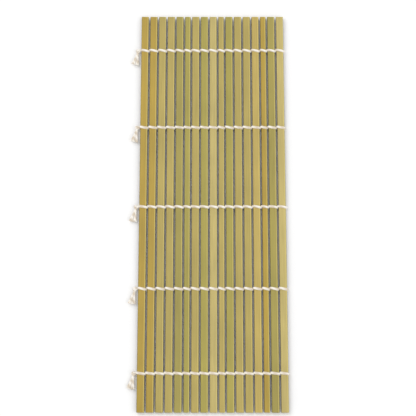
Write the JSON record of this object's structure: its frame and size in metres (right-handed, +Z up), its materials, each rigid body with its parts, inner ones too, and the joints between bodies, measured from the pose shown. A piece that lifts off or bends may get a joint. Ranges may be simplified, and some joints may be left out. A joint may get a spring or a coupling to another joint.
{
  "type": "sushi rolling mat",
  "caption": "Flexible sushi rolling mat of flat bamboo slats tied side by side with rows of cotton string.",
  "frame": {"origin": "centre of the bounding box on the surface the mat lies on", "axes": "+X across the slats towards the edge without knots, +Y along the slats, +Z up"},
  "size_m": [0.0918, 0.24, 0.0038],
  "materials": {
    "bamboo": "satin",
    "string": "matte"
  },
  "bodies": {
    "slat_body_1": {"slat_1": "bamboo", "ties_1": "string"},
    "slat_body_2": {"slat_2": "bamboo", "ties_2": "string"},
    "slat_body_3": {"slat_3": "bamboo", "ties_3": "string"},
    "slat_body_4": {"slat_4": "bamboo", "ties_4": "string"},
    "slat_body_5": {"slat_5": "bamboo", "ties_5": "string"},
    "slat_body_6": {"slat_6": "bamboo", "ties_6": "string"},
    "slat_body_7": {"slat_7": "bamboo", "ties_7": "string"},
    "slat_body_8": {"slat_8": "bamboo", "ties_8": "string"},
    "slat_body_9": {"slat_9": "bamboo", "ties_9": "string"},
    "slat_body_10": {"slat_10": "bamboo", "ties_10": "string"},
    "slat_body_11": {"slat_11": "bamboo", "ties_11": "string"},
    "slat_body_12": {"slat_12": "bamboo", "ties_12": "string"},
    "slat_body_13": {"slat_13": "bamboo", "ties_13": "string"},
    "slat_body_14": {"slat_14": "bamboo", "ties_14": "string"},
    "slat_body_15": {"slat_15": "bamboo", "ties_15": "string"},
    "slat_body_16": {"slat_16": "bamboo", "ties_16": "string"},
    "slat_body_17": {"slat_17": "bamboo", "ties_17": "string", "knot_1": "string", "knot_2": "string", "knot_3": "string", "knot_4": "string", "knot_5": "string"}
  },
  "joints": [
    {"name": "roll", "type": "hinge", "parent": "slat_body_1", "child": "slat_body_2", "pos_m": [0.04089, 0, 0.0019], "axis": [0, 1, 0], "range_deg": [0, 18]},
    {"name": "roll_2", "type": "hinge", "parent": "slat_body_2", "child": "slat_body_3", "pos_m": [0.03559, 0, 0.0019], "axis": [0, 1, 0], "range_deg": [0, 18]},
    {"name": "roll_3", "type": "hinge", "parent": "slat_body_3", "child": "slat_body_4", "pos_m": [0.03129, 0, 0.0019], "axis": [0, 1, 0], "range_deg": [0, 18]},
    {"name": "roll_4", "type": "hinge", "parent": "slat_body_4", "child": "slat_body_5", "pos_m": [0.02599, 0, 0.0019], "axis": [0, 1, 0], "range_deg": [0, 18]},
    {"name": "roll_5", "type": "hinge", "parent": "slat_body_5", "child": "slat_body_6", "pos_m": [0.02069, 0, 0.0019], "axis": [0, 1, 0], "range_deg": [0, 18]},
    {"name": "roll_6", "type": "hinge", "parent": "slat_body_6", "child": "slat_body_7", "pos_m": [0.01539, 0, 0.0019], "axis": [0, 1, 0], "range_deg": [0, 18]},
    {"name": "roll_7", "type": "hinge", "parent": "slat_body_7", "child": "slat_body_8", "pos_m": [0.01009, 0, 0.0019], "axis": [0, 1, 0], "range_deg": [0, 18]},
    {"name": "roll_8", "type": "hinge", "parent": "slat_body_8", "child": "slat_body_9", "pos_m": [0.00579, 0, 0.0019], "axis": [0, 1, 0], "range_deg": [0, 18]},
    {"name": "roll_9", "type": "hinge", "parent": "slat_body_9", "child": "slat_body_10", "pos_m": [0.00049, 0, 0.0019], "axis": [0, 1, 0], "range_deg": [0, 18]},
    {"name": "roll_10", "type": "hinge", "parent": "slat_body_10", "child": "slat_body_11", "pos_m": [-0.00481, 0, 0.0019], "axis": [0, 1, 0], "range_deg": [0, 18]},
    {"name": "roll_11", "type": "hinge", "parent": "slat_body_11", "child": "slat_body_12", "pos_m": [-0.01011, 0, 0.0019], "axis": [0, 1, 0], "range_deg": [0, 18]},
    {"name": "roll_12", "type": "hinge", "parent": "slat_body_12", "child": "slat_body_13", "pos_m": [-0.01441, 0, 0.0019], "axis": [0, 1, 0], "range_deg": [0, 18]},
    {"name": "roll_13", "type": "hinge", "parent": "slat_body_13", "child": "slat_body_14", "pos_m": [-0.01971, 0, 0.0019], "axis": [0, 1, 0], "range_deg": [0, 18]},
    {"name": "roll_14", "type": "hinge", "parent": "slat_body_14", "child": "slat_body_15", "pos_m": [-0.02501, 0, 0.0019], "axis": [0, 1, 0], "range_deg": [0, 18]},
    {"name": "roll_15", "type": "hinge", "parent": "slat_body_15", "child": "slat_body_16", "pos_m": [-0.03031, 0, 0.0019], "axis": [0, 1, 0], "range_deg": [0, 18]},
    {"name": "roll_16", "type": "hinge", "parent": "slat_body_16", "child": "slat_body_17", "pos_m": [-0.03561, 0, 0.0019], "axis": [0, 1, 0], "range_deg": [0, 18]}
  ],
  "couplings": [
    {"joint": "roll_2", "follows": "roll", "ratio": 1},
    {"joint": "roll_3", "follows": "roll", "ratio": 1},
    {"joint": "roll_4", "follows": "roll", "ratio": 1},
    {"joint": "roll_5", "follows": "roll", "ratio": 1},
    {"joint": "roll_6", "follows": "roll", "ratio": 1},
    {"joint": "roll_7", "follows": "roll", "ratio": 1},
    {"joint": "roll_8", "follows": "roll", "ratio": 1},
    {"joint": "roll_9", "follows": "roll", "ratio": 1},
    {"joint": "roll_10", "follows": "roll", "ratio": 1},
    {"joint": "roll_11", "follows": "roll", "ratio": 1},
    {"joint": "roll_12", "follows": "roll", "ratio": 1},
    {"joint": "roll_13", "follows": "roll", "ratio": 1},
    {"joint": "roll_14", "follows": "roll", "ratio": 1},
    {"joint": "roll_15", "follows": "roll", "ratio": 1},
    {"joint": "roll_16", "follows": "roll", "ratio": 1}
  ]
}
